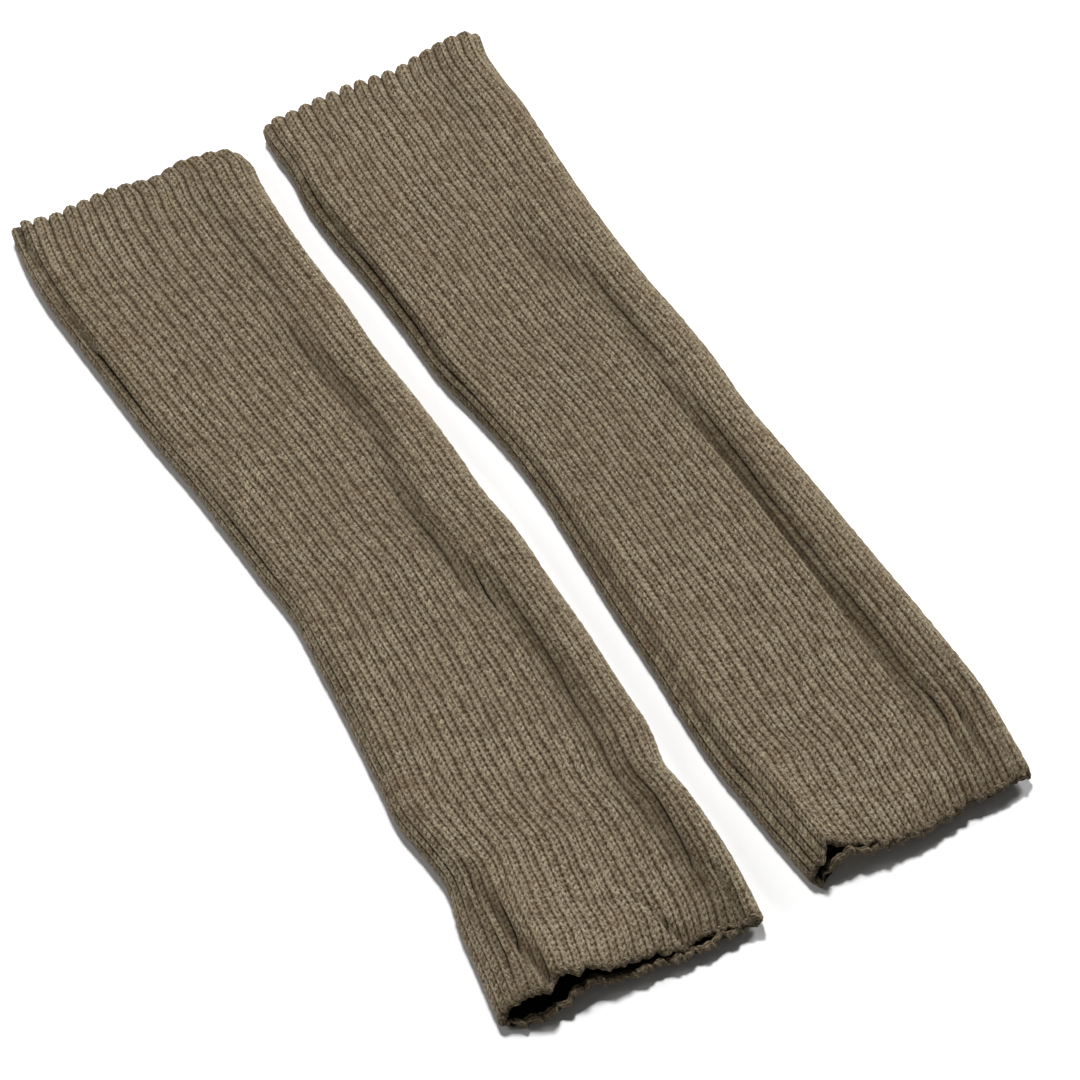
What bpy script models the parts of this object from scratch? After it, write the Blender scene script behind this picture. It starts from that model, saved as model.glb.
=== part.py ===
"""A pair of ribbed-knit leg warmers, laid flat side by side.

Each one is a knitted tube, open at both ends, pressed flat by its own weight.
The cloth is one closed wall: ribs stand proud on its outside, its inside is
plain, and the side that it lies on is flat. Every size below is in millimetres,
measured in the tube's own frame: s runs from its far end to its near end, x
runs across it to the right, and z is the height above the table.
"""
from collections import namedtuple
import math

import bpy
import numpy as np

MM = 0.001

# Driving sizes
TUBE_LENGTH = 420.0
CLOTH = 2.4             # wall, from the mean of the ribs to the plain inside
RIBS_ON_TOP = 17        # half of the ribs round the tube
RIB_RELIEF = 1.1        # a rib's crest above the groove beside it
SCALLOP = 1.6           # how far a rib ends beyond its grooves at a mouth
WIDEST_HIGH = 4.0       # height of the outermost line of either side
UNDER_ROUND = 5.5       # width of the curve from that line down to the table

# How finely each wall is built
SECTIONS = 34           # stretches along the tube
RIB_POINTS = (0.0, 0.24, 0.5, 0.76)         # groove, then the round of the crest
RIB_HEIGHTS = (-0.6, 0.28, 0.4, 0.28)       # their share of the relief
LOWER_SIDE_STEPS = 4    # stretches from the outermost line down to the table
UNDERSIDE_STEPS = 8     # stretches across the flat underside
OUTER_PER_INNER = 2     # outer points for each point of the plain inside
LINE_POINTS = 600       # points on the smooth line that a section is read from

# The finish of both tubes
YARN_COLOUR = (0.19, 0.15, 0.105, 1.0)
YARN_ROUGHNESS = 0.95

# Where each tube lies: its middle, and how far it is turned about the vertical.
Place = namedtuple("Place", "x y heading_deg")
LEFT_PLACE = Place(-57.23, -5.18, 1.082)
RIGHT_PLACE = Place(57.47, 3.02, -1.082)

# The outline seen from above, left and right side at each station.
Edge = namedtuple("Edge", "s left right")
LEFT_EDGES = (
    Edge(0, -51.0, 46.2),
    Edge(6, -51.8, 47.4),
    Edge(14, -52.6, 46.6),
    Edge(35, -53.4, 46.0),
    Edge(60, -51.7, 46.2),
    Edge(90, -49.2, 47.8),
    Edge(120, -46.6, 48.3),
    Edge(150, -42.7, 50.6),
    Edge(180, -39.9, 52.0),
    Edge(205, -37.9, 52.5),
    Edge(222, -36.1, 54.5),
    Edge(250, -37.1, 54.9),
    Edge(280, -38.9, 55.6),
    Edge(310, -41.3, 55.3),
    Edge(330, -42.9, 55.2),
    Edge(347, -40.6, 52.4),
    Edge(360, -39.7, 53.8),
    Edge(380, -43.8, 54.6),
    Edge(400, -46.3, 54.0),
    Edge(420, -49.0, 52.0),
)
RIGHT_EDGES = (
    Edge(0, -47.8, 52.8),
    Edge(9, -48.3, 50.3),
    Edge(25, -48.5, 49.2),
    Edge(40, -50.6, 49.3),
    Edge(60, -50.9, 47.9),
    Edge(90, -49.2, 45.8),
    Edge(120, -48.6, 44.8),
    Edge(150, -48.3, 44.9),
    Edge(170, -45.8, 45.9),
    Edge(195, -43.6, 46.4),
    Edge(222, -43.6, 45.2),
    Edge(250, -45.5, 46.2),
    Edge(280, -47.5, 47.1),
    Edge(310, -48.9, 47.8),
    Edge(340, -50.9, 48.8),
    Edge(362, -51.7, 49.2),
    Edge(380, -50.8, 49.2),
    Edge(400, -49.9, 47.0),
    Edge(420, -48.2, 44.4),
)

# The height of the cloth over the left, middle and right of the tube, and the
# width of the slope that rises to it from each side. A straight share of 1 makes
# the left slope a plain bank under a crease, and 0 makes it round.
Profile = namedtuple(
    "Profile", "s left_rise right_rise straight left_high mid_high right_high")
LEFT_PROFILE = (
    Profile(0, 6.0, 6.0, 0.0, 10.2, 10.4, 10.2),
    Profile(60, 6.5, 7.0, 0.0, 11.2, 11.6, 12.0),
    Profile(140, 6.5, 8.0, 0.0, 11.2, 12.0, 13.2),
    Profile(240, 7.0, 8.0, 0.0, 11.2, 12.0, 13.6),
    Profile(330, 7.0, 8.0, 0.0, 11.8, 12.0, 13.2),
    Profile(355, 8.0, 7.5, 0.2, 13.0, 12.2, 13.0),
    Profile(380, 13.0, 7.0, 0.7, 15.8, 12.4, 12.2),
    Profile(420, 17.5, 7.0, 0.8, 18.6, 11.8, 10.0),
)
RIGHT_PROFILE = (
    Profile(0, 6.0, 6.5, 0.0, 10.2, 10.6, 10.4),
    Profile(60, 7.5, 8.0, 0.1, 12.2, 12.0, 12.4),
    Profile(110, 7.0, 12.0, 0.0, 12.2, 12.0, 13.0),
    Profile(190, 6.5, 15.0, 0.0, 11.6, 12.0, 13.6),
    Profile(260, 9.0, 14.0, 0.2, 12.2, 12.2, 13.8),
    Profile(340, 9.5, 9.0, 0.3, 12.6, 12.2, 12.8),
    Profile(390, 10.0, 7.5, 0.4, 12.6, 11.6, 11.6),
    Profile(420, 9.0, 7.0, 0.5, 11.2, 9.8, 9.8),
)

# The largest folds: soft troughs that run along the tube between two stations,
# with their place across it at the start, halfway and the end. A depth below
# nothing is a rise.
Fold = namedtuple("Fold", "start end x_start x_half x_end width depth")
LEFT_FOLDS = (
    Fold(2, 80, -48.2, -48.4, -46.4, 2.2, 1.8),
    Fold(80, 245, -45.6, -39.4, -32.6, 2.6, 1.3),
    Fold(250, 300, -37.0, -37.6, -38.0, 3.0, 1.6),
    Fold(8, 112, 20.0, 25.0, 25.0, 5.5, 1.0),
    Fold(98, 178, 21.0, 27.0, 29.5, 5.0, 2.2),
    Fold(168, 258, 25.0, 23.5, 29.0, 4.2, 1.8),
    Fold(236, 338, 32.5, 35.0, 34.0, 4.5, 2.2),
    Fold(328, 424, 31.5, 36.5, 37.0, 4.0, 2.0),
    Fold(362, 424, -30.5, -31.0, -31.5, 2.2, 1.4),
    Fold(396, 424, 46.0, 45.5, 45.0, 2.0, 1.2),
)
RIGHT_FOLDS = (
    Fold(20, 188, -49.0, -46.2, -45.6, 2.6, 2.4),
    Fold(190, 330, -39.6, -42.4, -45.4, 2.6, 1.2),
    Fold(0, 62, 26.5, 25.5, 23.5, 4.5, 1.1),
    Fold(92, 142, 18.5, 14.0, 19.0, 6.0, 1.1),
    Fold(128, 206, 20.5, 25.5, 21.0, 3.6, 2.0),
    Fold(198, 304, 20.0, 25.0, 25.5, 3.6, 2.6),
    Fold(290, 384, 25.0, 25.0, 26.0, 3.2, 1.9),
    Fold(356, 424, 29.8, 27.6, 25.6, 1.8, 1.3),
    Fold(362, 424, 36.0, 34.0, 31.4, 1.8, 1.2),
    Fold(352, 424, 45.2, 42.0, 38.6, 1.8, 1.2),
    Fold(376, 448, -42.5, -41.0, -41.0, 7.0, -4.2),
)

# Where the cloth ends at each mouth, over the table and beneath, from the left
# side (-1) to the right side (1).
Mouth = namedtuple("Mouth", "across far_top near_top far_under near_under")
LEFT_MOUTHS = (
    Mouth(-1.00, 0.2, 415.6, 0.2, 415.6),
    Mouth(-0.65, 2.8, 416.2, 4.0, 420.2),
    Mouth(-0.30, 1.0, 416.8, 4.0, 419.0),
    Mouth(0.00, 0.6, 419.4, 3.5, 417.8),
    Mouth(0.25, 2.2, 420.6, 4.5, 419.8),
    Mouth(0.50, -0.8, 421.4, 2.5, 420.4),
    Mouth(0.75, 0.4, 421.0, 4.0, 418.4),
    Mouth(1.00, 5.0, 419.0, 6.0, 418.4),
)
RIGHT_MOUTHS = (
    Mouth(-1.00, 3.2, 420.6, 3.2, 420.6),
    Mouth(-0.75, 3.8, 420.4, 5.5, 421.6),
    Mouth(-0.40, 1.0, 423.0, 4.0, 421.4),
    Mouth(0.00, 0.8, 424.2, 3.5, 420.0),
    Mouth(0.25, 1.4, 423.0, 3.5, 418.0),
    Mouth(0.60, -2.6, 421.0, 1.0, 416.4),
    Mouth(0.85, -3.4, 419.8, -1.0, 416.4),
    Mouth(1.00, -2.4, 418.6, -1.0, 418.2),
)


def read(rows, column, at):
    """A table's column at any station, on a smooth curve through its rows."""
    knots = np.array([row[0] for row in rows], float)
    values = np.array([getattr(row, column) for row in rows], float)
    slopes = np.gradient(values, knots)
    at = np.clip(at, knots[0], knots[-1])
    k = np.clip(np.searchsorted(knots, at) - 1, 0, len(knots) - 2)
    step = knots[k + 1] - knots[k]
    t = (at - knots[k]) / step
    rise = t * t * (3 - 2 * t)
    return (values[k] * (1 - rise) + values[k + 1] * rise
            + step * t * (1 - t) * ((1 - t) * slopes[k] - t * slopes[k + 1]))


def slope_share(distance, width, straight=0.0):
    """How far a side has risen, 0 to 1, at a distance in from its outermost line."""
    t = np.clip(distance / width, 0.0, 1.0)
    round_side = np.sqrt(1 - (1 - t) ** 2)
    bank = t ** 0.72
    return round_side + straight * (bank - round_side)


def fold_depth(folds, x, s):
    """How far the folds lower the cloth at places x along station s."""
    depth = np.zeros_like(x)
    for fold in folds:
        along = (s - fold.start) / (fold.end - fold.start)
        if 0 < along < 1:
            near = (1 - along) * (1 - 2 * along)
            half = 4 * along * (1 - along)
            far = along * (2 * along - 1)
            middle = fold.x_start * near + fold.x_half * half + fold.x_end * far
            strength = math.sin(math.pi * along) ** 0.6
            depth += fold.depth * strength * np.exp(-((x - middle) / fold.width) ** 2)
    return depth


def section_lines(edges, profile, folds, s):
    """The top line, left to right, and the underside, right to left, at station s."""
    left = read(edges, "left", s)
    right = read(edges, "right", s)
    turn = np.linspace(0, math.pi, LINE_POINTS)
    x = left + (right - left) * (1 - np.cos(turn)) / 2
    across = (2 * x - left - right) / (right - left)

    left_high = read(profile, "left_high", s)
    mid_high = read(profile, "mid_high", s)
    right_high = read(profile, "right_high", s)
    bend = (left_high + right_high) / 2 - mid_high
    high = mid_high + across * (right_high - left_high) / 2 + bend * across ** 2
    high = high - fold_depth(folds, x, s)
    left_slope = slope_share(
        x - left, read(profile, "left_rise", s), read(profile, "straight", s))
    right_slope = slope_share(right - x, read(profile, "right_rise", s))
    top = WIDEST_HIGH + (high - WIDEST_HIGH) * left_slope * right_slope

    lift = slope_share(x - left, UNDER_ROUND) * slope_share(right - x, UNDER_ROUND)
    under = WIDEST_HIGH * (1 - lift)
    return np.stack([x, top], 1), np.stack([x, under], 1)[::-1]


def spread(line, shares):
    """Points on a line at the given shares of its length."""
    steps = np.hypot(*np.diff(line, axis=0).T)
    run = np.concatenate([[0.0], np.cumsum(steps)])
    at = np.asarray(shares) * run[-1]
    return np.stack([np.interp(at, run, line[:, 0]), np.interp(at, run, line[:, 1])], 1)


def outward(line):
    """Unit normals of a closed line that runs clockwise."""
    ahead = np.roll(line, -1, axis=0) - np.roll(line, 1, axis=0)
    normal = np.stack([-ahead[:, 1], ahead[:, 0]], 1)
    return normal / np.linalg.norm(normal, axis=1, keepdims=True)


def ring_shares():
    """Shares of the top line, of each lower side and of the underside for the points."""
    top = np.array([(rib + point) / RIBS_ON_TOP
                    for rib in range(RIBS_ON_TOP) for point in RIB_POINTS])
    side = np.arange(LOWER_SIDE_STEPS) / LOWER_SIDE_STEPS
    flat = np.arange(UNDERSIDE_STEPS) / UNDERSIDE_STEPS
    return top, side, flat


def split_under(line):
    """The underside cut into its right curve, its flat stretch and its left curve."""
    right_end = line[0, 0] - UNDER_ROUND
    left_end = line[-1, 0] + UNDER_ROUND
    is_right = line[:, 0] > right_end
    is_left = line[:, 0] < left_end
    right_foot = np.array([[right_end, 0.0]])
    left_foot = np.array([[left_end, 0.0]])
    return (np.vstack([line[is_right], right_foot]),
            np.vstack([right_foot, left_foot]),
            np.vstack([left_foot, line[is_left]]))


def ring(edges, profile, folds, s):
    """Outer points, inner points and the relief share of one section of the wall."""
    top_line, under_line = section_lines(edges, profile, folds, s)
    top_shares, side_shares, flat_shares = ring_shares()
    right_curve, flat, left_curve = split_under(under_line)
    mean = np.vstack([
        spread(top_line, top_shares),
        spread(right_curve, side_shares),
        spread(flat, flat_shares),
        spread(left_curve, side_shares),
    ])

    relief = np.zeros(len(mean))
    relief[:len(top_shares)] = RIB_RELIEF * np.tile(RIB_HEIGHTS, RIBS_ON_TOP)
    outer = mean + outward(mean) * relief[:, None]

    whole = np.vstack([top_line[:-1], under_line[:-1]])
    inside = whole - outward(whole) * CLOTH
    top_inside = inside[:LINE_POINTS]
    under_inside = np.vstack([inside[LINE_POINTS - 1:], inside[:1]])
    inner_top = len(top_shares) // OUTER_PER_INNER
    inner_under = (len(mean) - len(top_shares)) // OUTER_PER_INNER
    inner = np.vstack([
        spread(top_inside, np.arange(inner_top) / inner_top),
        spread(under_inside, np.arange(inner_under) / inner_under),
    ])
    return outer, inner, relief / RIB_RELIEF


def stations(mouths, points, is_top, along, end_reach):
    """The s of each point of a section that lies a share along the tube."""
    span = points[:, 0].max() - points[:, 0].min()
    across = 2 * (points[:, 0] - points[:, 0].min()) / span - 1
    far = np.where(is_top, read(mouths, "far_top", across), read(mouths, "far_under", across))
    near = np.where(is_top, read(mouths, "near_top", across),
                    read(mouths, "near_under", across))
    s = far + (near - far) * along
    if along == 0:
        s = s - end_reach
    if along == 1:
        s = s + end_reach
    return s


def placed(points, s, place):
    """Section points (x, z) at stations s, as world coordinates in metres."""
    heading = math.radians(place.heading_deg)
    ahead = TUBE_LENGTH / 2 - s
    x = place.x + points[:, 0] * math.cos(heading) + ahead * math.sin(heading)
    y = place.y - points[:, 0] * math.sin(heading) + ahead * math.cos(heading)
    return np.stack([x, y, points[:, 1]], 1) * MM


def bridge_faces(outer_at, inner_at, outer_count, inner_count, flip):
    """Faces that close one mouth, from the outer ring to the inner ring."""
    faces = []
    for k in range(inner_count):
        inner_a = inner_at + k
        inner_b = inner_at + (k + 1) % inner_count
        rim = [outer_at + (OUTER_PER_INNER * k + j) % outer_count
               for j in range(OUTER_PER_INNER + 1)]
        faces.append((rim[0], rim[1], inner_a))
        faces.append((rim[1], inner_b, inner_a))
        faces.append((rim[1], rim[2], inner_b))
    return [face[::-1] for face in faces] if flip else faces


def wall_faces(start, count, stride, flip):
    """Faces between rings of a wall; each ring starts a stride after the last."""
    faces = []
    for row in range(SECTIONS):
        a_ring = start + row * stride
        b_ring = a_ring + stride
        for k in range(count):
            after = (k + 1) % count
            face = (a_ring + k, b_ring + k, b_ring + after, a_ring + after)
            faces.append(face[::-1] if flip else face)
    return faces


def yarn_material():
    """The matt taupe wool of both tubes."""
    material = bpy.data.materials.new("taupe_rib_knit")
    material.use_nodes = True
    shader = material.node_tree.nodes["Principled BSDF"]
    shader.inputs["Base Color"].default_value = YARN_COLOUR
    shader.inputs["Roughness"].default_value = YARN_ROUGHNESS
    shader.inputs["Metallic"].default_value = 0.0
    return material


def leg_warmer(name, edges, profile, folds, mouths, place, material):
    """One knitted tube as a closed wall, with both of its mouths open."""
    points = []
    for row in range(SECTIONS + 1):
        along = row / SECTIONS
        outer, inner, crest = ring(edges, profile, folds, along * TUBE_LENGTH)
        top_count = RIBS_ON_TOP * len(RIB_POINTS)
        outer_top = np.arange(len(outer)) <= top_count
        inner_top = np.arange(len(inner)) <= top_count // OUTER_PER_INNER
        outer_s = stations(mouths, outer, outer_top, along, SCALLOP * crest)
        inner_s = stations(mouths, inner, inner_top, along, 0.0)
        points.append(placed(outer, outer_s, place))
        points.append(placed(inner, inner_s, place))
    stride = len(outer) + len(inner)
    last = SECTIONS * stride

    faces = wall_faces(0, len(outer), stride, flip=False)
    faces += wall_faces(len(outer), len(inner), stride, flip=True)
    faces += bridge_faces(0, len(outer), len(outer), len(inner), flip=False)
    faces += bridge_faces(last, last + len(outer), len(outer), len(inner), flip=True)

    mesh = bpy.data.meshes.new(name)
    mesh.from_pydata(np.vstack(points).tolist(), [], faces)
    mesh.update()
    mesh.materials.append(material)
    tube = bpy.data.objects.new(name, mesh)
    bpy.context.collection.objects.link(tube)
    return tube


def main():
    for thing in list(bpy.data.objects):
        bpy.data.objects.remove(thing, do_unlink=True)
    material = yarn_material()
    leg_warmer("left_leg_warmer", LEFT_EDGES, LEFT_PROFILE, LEFT_FOLDS,
               LEFT_MOUTHS, LEFT_PLACE, material)
    leg_warmer("right_leg_warmer", RIGHT_EDGES, RIGHT_PROFILE, RIGHT_FOLDS,
               RIGHT_MOUTHS, RIGHT_PLACE, material)


main()
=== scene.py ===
# %% [markdown]
# # A pair of ribbed leg warmers
#
# Two footless tubes of taupe wool rib lie flat side by side. Everything that can
# be seen of them is one soft knitted cloth, so the lesson is about one thing: how
# to give a plain tube the ribs, the rows of V-shaped stitches, the folds and the
# rolled ends of real knitting.

# %% Load the frame
import math
from collections import namedtuple

import bpy
import numpy as np
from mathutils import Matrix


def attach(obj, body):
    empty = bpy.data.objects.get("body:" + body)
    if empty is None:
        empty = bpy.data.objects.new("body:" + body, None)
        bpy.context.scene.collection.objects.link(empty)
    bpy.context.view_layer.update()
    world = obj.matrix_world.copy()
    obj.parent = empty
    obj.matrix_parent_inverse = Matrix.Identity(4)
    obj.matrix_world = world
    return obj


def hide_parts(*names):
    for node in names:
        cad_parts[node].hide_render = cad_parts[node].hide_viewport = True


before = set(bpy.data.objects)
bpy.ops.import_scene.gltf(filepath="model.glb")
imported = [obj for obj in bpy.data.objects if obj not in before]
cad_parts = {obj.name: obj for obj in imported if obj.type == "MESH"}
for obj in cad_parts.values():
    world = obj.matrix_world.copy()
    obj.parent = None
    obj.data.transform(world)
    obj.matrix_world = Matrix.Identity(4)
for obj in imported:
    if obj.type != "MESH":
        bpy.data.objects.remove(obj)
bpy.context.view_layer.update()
MM = 0.001

# %% [markdown]
# ## The camera
#
# The photo looks down at about 49 degrees from the near left, through a long
# lens, so that lines which are parallel on the table stay almost parallel. The
# camera is placed on a line from the point it aims at, instead of typing in a
# position and three angles, because the view can then be turned or pulled back
# by changing one number.

# %% Place the camera
AIM = np.array([5.26, -24.37, 0.0]) * MM
DISTANCE = 1.8615
AZIMUTH, ELEVATION = math.radians(-27.98), math.radians(49.33)
LENS, SENSOR = 168.53, 36.0

toward_camera = np.array([
    math.sin(AZIMUTH) * math.cos(ELEVATION),
    -math.cos(AZIMUTH) * math.cos(ELEVATION),
    math.sin(ELEVATION),
])
camera_data = bpy.data.cameras.new("camera")
camera_data.lens = LENS
camera_data.sensor_width = SENSOR
camera_data.clip_start, camera_data.clip_end = 0.1, 20.0
camera = bpy.data.objects.new("camera", camera_data)
camera.location = AIM + toward_camera * DISTANCE
camera.rotation_euler = (math.pi / 2 - ELEVATION, 0.0, AZIMUTH)
bpy.context.scene.collection.objects.link(camera)
bpy.context.scene.camera = camera
print("camera at", [round(v, 3) for v in camera.location])

# %% [markdown]
# ## The sizes of one tube
#
# Each tube is described in its own frame, in millimetres: s runs from its far end
# to its near end, x runs across it to the right, and z is the height above the
# table. These tables say where its edges lie, how high the cloth stands, where
# the folds run and where the cloth ends. The edges and heights are the same
# numbers as in the solid model, so the knitted surface lies on it; the folds and
# the ends of the cloth are softer and finer here than a solid needs.

# %% Name the driving sizes
TUBE_LENGTH = 420.0
CLOTH = 2.4             # wall, from the mean of the ribs to the inside
RIBS_ON_TOP = 17        # half of the ribs round the tube
COURSES = 174           # rows of stitches from mouth to mouth
WIDEST_HIGH = 4.0       # height of the outermost line of either side
UNDER_ROUND = 5.5       # width of the curve from that line down to the table
LINE_POINTS = 500       # points on the smooth line that a section is read from

Edge = namedtuple("Edge", "s left right")
Profile = namedtuple(
    "Profile", "s left_rise right_rise straight left_high mid_high right_high")
Fold = namedtuple("Fold", "start end x_start x_half x_end width depth")
Mouth = namedtuple("Mouth", "across far_top near_top far_under near_under")
Edging = namedtuple("Edging", "across top_drop under_lift")
Curl = namedtuple("Curl", "x width high reach")
Slack = namedtuple("Slack", "start x_low x_high share")
# A column's fourth value is painted shade, for parts of a rib that turn away from the light or
# sink between its wales; its last marks a smooth cord, with a fainter crease and a painted
# highlight.
Column = namedtuple("Column", "share high leg dim cord")
Place = namedtuple("Place", "x y heading_deg")
Tube = namedtuple(
    "Tube", "name solid place edges profile folds mouths edging curls slack columns"
            " far_lump seed")

# %% Describe the left tube
LEFT_EDGES = (
    Edge(0, -51.0, 46.2),
    Edge(6, -51.8, 47.4),
    Edge(14, -52.6, 46.6),
    Edge(35, -53.4, 46.0),
    Edge(60, -51.7, 46.2),
    Edge(90, -49.2, 47.8),
    Edge(120, -46.6, 48.3),
    Edge(150, -42.7, 50.6),
    Edge(180, -39.9, 52.0),
    Edge(205, -37.9, 52.5),
    Edge(222, -36.1, 54.5),
    Edge(250, -37.1, 54.9),
    Edge(280, -38.9, 55.6),
    Edge(310, -41.3, 55.3),
    Edge(330, -42.9, 55.2),
    Edge(347, -40.6, 52.4),
    Edge(360, -39.7, 53.8),
    Edge(380, -43.8, 54.6),
    Edge(400, -46.3, 54.0),
    Edge(420, -49.0, 52.0),
)
LEFT_PROFILE = (
    Profile(0, 6.0, 6.0, 0.0, 10.2, 10.4, 10.2),
    Profile(60, 6.5, 7.0, 0.0, 11.2, 11.6, 12.0),
    Profile(140, 6.5, 8.0, 0.0, 11.2, 12.0, 13.2),
    Profile(240, 7.0, 8.0, 0.0, 11.2, 12.0, 13.6),
    Profile(330, 7.0, 8.0, 0.0, 11.8, 12.0, 13.2),
    Profile(355, 8.0, 7.5, 0.2, 13.0, 12.2, 13.0),
    Profile(380, 13.0, 7.0, 0.7, 15.8, 12.4, 12.2),
    Profile(420, 17.5, 7.0, 0.8, 18.6, 11.8, 10.0),
)
LEFT_FOLDS = (
    Fold(-30, 124, -47.2, -48.6, -43.4, 1.2, 2.6),
    Fold(-60, 120, -8.0, -4.0, 0.0, 34.0, 0.35),
    Fold(150, 216, -39.6, -36.8, -34.8, 1.4, 1.2),
    Fold(240, 296, -34.6, -35.6, -36.6, 2.4, 0.5),
    Fold(8, 112, 20.0, 24.0, 24.0, 6.0, 1.0),
    Fold(98, 178, 20.0, 26.0, 29.0, 5.3, 2.3),
    Fold(164, 262, 26.0, 23.5, 29.0, 5.0, 2.2),
    Fold(232, 338, 31.5, 35.0, 34.5, 5.3, 2.5),
    Fold(328, 424, 32.0, 36.5, 38.0, 5.0, 1.9),
    Fold(358, 440, -31.5, -30.6, -25.0, 2.7, 3.1),
    Fold(356, 426, -38.6, -38.0, -36.5, 2.0, 1.4),
    Fold(394, 426, 46.0, 45.5, 45.0, 1.4, 2.4),
    Fold(396, 430, 14.0, 19.5, 24.0, 1.3, 1.5),
    Fold(340, 424, 38.5, 40.5, 40.0, 2.0, 1.0),
    Fold(300, 470, 38.0, 40.0, 40.0, 12.0, 0.5),
)
LEFT_MOUTHS = (
    Mouth(-1.00, 0.2, 415.6, 0.2, 415.6),
    Mouth(-0.84, 1.8, 415.4, 2.4, 420.0),
    Mouth(-0.65, 2.8, 417.4, 4.0, 420.6),
    Mouth(-0.50, 1.8, 412.8, 4.0, 419.8),
    Mouth(-0.40, 1.2, 415.0, 4.0, 417.4),
    Mouth(-0.25, 0.6, 415.4, 3.8, 417.6),
    Mouth(-0.15, 0.5, 417.4, 3.6, 418.6),
    Mouth(0.00, 0.6, 417.6, 3.5, 419.8),
    Mouth(0.25, 2.2, 417.8, 4.5, 420.2),
    Mouth(0.36, 1.0, 419.2, 3.6, 421.0),
    Mouth(0.50, -0.8, 417.8, 2.5, 421.0),
    Mouth(0.75, 0.4, 417.6, 4.0, 419.6),
    Mouth(0.90, 1.8, 419.0, 4.2, 418.4),
    Mouth(1.00, 4.0, 419.2, 4.6, 419.0),
)
LEFT_EDGING = (
    Edging(-1.00, 0.0, 0.0),
    Edging(-0.84, 0.6, 1.0),
    Edging(-0.50, 0.0, 2.2),
    Edging(-0.10, 1.0, 2.6),
    Edging(0.30, 2.2, 2.6),
    Edging(0.70, 2.2, 2.4),
    Edging(0.90, 1.2, 1.2),
    Edging(1.00, 0.0, 0.0),
)
LEFT_CURLS = (
    Curl(-12.0, 2.4, 3.2, 8.0),
    Curl(-21.0, 4.0, 1.6, 8.0),
    Curl(6.0, 2.2, 1.3, 6.0),
    Curl(36.0, 3.0, 1.0, 6.0),
)
LEFT_SLACK = Slack(356.0, -28.0, 16.0, 0.48)
LEFT_COLUMNS = (
    Column(0.000, -1.25, 0.06, 0.05, 0.6),  # bottom of the groove
    Column(0.135, 0.50, 0.08, 0.00, 1.0),   # first wale: left leg, a smooth cord
    Column(0.265, 0.06, 0.26, 0.04, 0.2),   # point of the V
    Column(0.400, 0.30, 0.36, 0.00, 0.0),   # right leg, slanting lumps
    Column(0.530, -0.70, 0.08, 0.22, 0.6),  # between the wales
    Column(0.645, 0.28, 0.08, 0.04, 1.0),   # second wale: left leg
    Column(0.765, -0.16, 0.26, 0.10, 0.2),  # point of the V
    Column(0.880, -0.46, 0.32, 0.20, 0.1),  # right leg, turning into the groove
)

# %% Describe the right tube
RIGHT_EDGES = (
    Edge(0, -47.8, 52.8),
    Edge(9, -48.3, 50.3),
    Edge(25, -48.5, 49.2),
    Edge(40, -50.6, 49.3),
    Edge(60, -50.9, 47.9),
    Edge(90, -49.2, 45.8),
    Edge(120, -48.6, 44.8),
    Edge(150, -48.3, 44.9),
    Edge(170, -45.8, 45.9),
    Edge(195, -43.6, 46.4),
    Edge(222, -43.6, 45.2),
    Edge(250, -45.5, 46.2),
    Edge(280, -47.5, 47.1),
    Edge(310, -48.9, 47.8),
    Edge(340, -50.9, 48.8),
    Edge(362, -51.7, 49.2),
    Edge(380, -50.8, 49.2),
    Edge(400, -49.9, 47.0),
    Edge(420, -48.2, 44.4),
)
RIGHT_PROFILE = (
    Profile(0, 6.0, 6.5, 0.0, 10.2, 10.6, 10.4),
    Profile(60, 7.5, 8.0, 0.1, 12.2, 12.0, 12.4),
    Profile(110, 7.0, 12.0, 0.0, 12.2, 12.0, 13.0),
    Profile(190, 6.5, 15.0, 0.0, 11.6, 12.0, 13.6),
    Profile(260, 9.0, 14.0, 0.2, 12.2, 12.2, 13.8),
    Profile(340, 9.5, 9.0, 0.3, 12.6, 12.2, 12.8),
    Profile(390, 10.0, 7.5, 0.4, 12.6, 11.6, 11.6),
    Profile(420, 9.0, 7.0, 0.5, 11.2, 9.8, 9.8),
)
RIGHT_FOLDS = (
    Fold(20, 188, -49.0, -46.2, -45.6, 1.9, 2.4),
    Fold(190, 335, -39.6, -42.4, -45.4, 1.8, 1.3),
    Fold(330, 396, -46.0, -47.6, -45.6, 1.6, 1.3),
    Fold(0, 62, 26.5, 25.5, 23.5, 4.8, 0.8),
    Fold(92, 142, 18.5, 14.0, 19.0, 6.0, 0.9),
    Fold(124, 208, 19.5, 24.5, 21.5, 4.6, 2.0),
    Fold(198, 304, 21.0, 25.0, 25.0, 4.6, 2.9),
    Fold(222, 346, 21.7, 22.4, 22.4, 1.3, 2.2),
    Fold(286, 390, 25.0, 24.5, 24.0, 4.2, 2.5),
    Fold(356, 426, 29.8, 27.6, 25.6, 1.5, 1.2),
    Fold(300, 470, 30.0, 33.0, 36.0, 13.0, 0.8),
    Fold(362, 426, 36.0, 34.0, 31.4, 1.4, 1.5),
    Fold(352, 426, 45.2, 42.0, 38.6, 1.4, 1.7),
    Fold(376, 448, -42.5, -41.0, -41.0, 7.0, -4.2),
    Fold(372, 428, -44.2, -43.4, -42.0, 1.8, 0.8),
    Fold(368, 432, -49.0, -47.6, -46.0, 3.0, 0.9),
)
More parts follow.
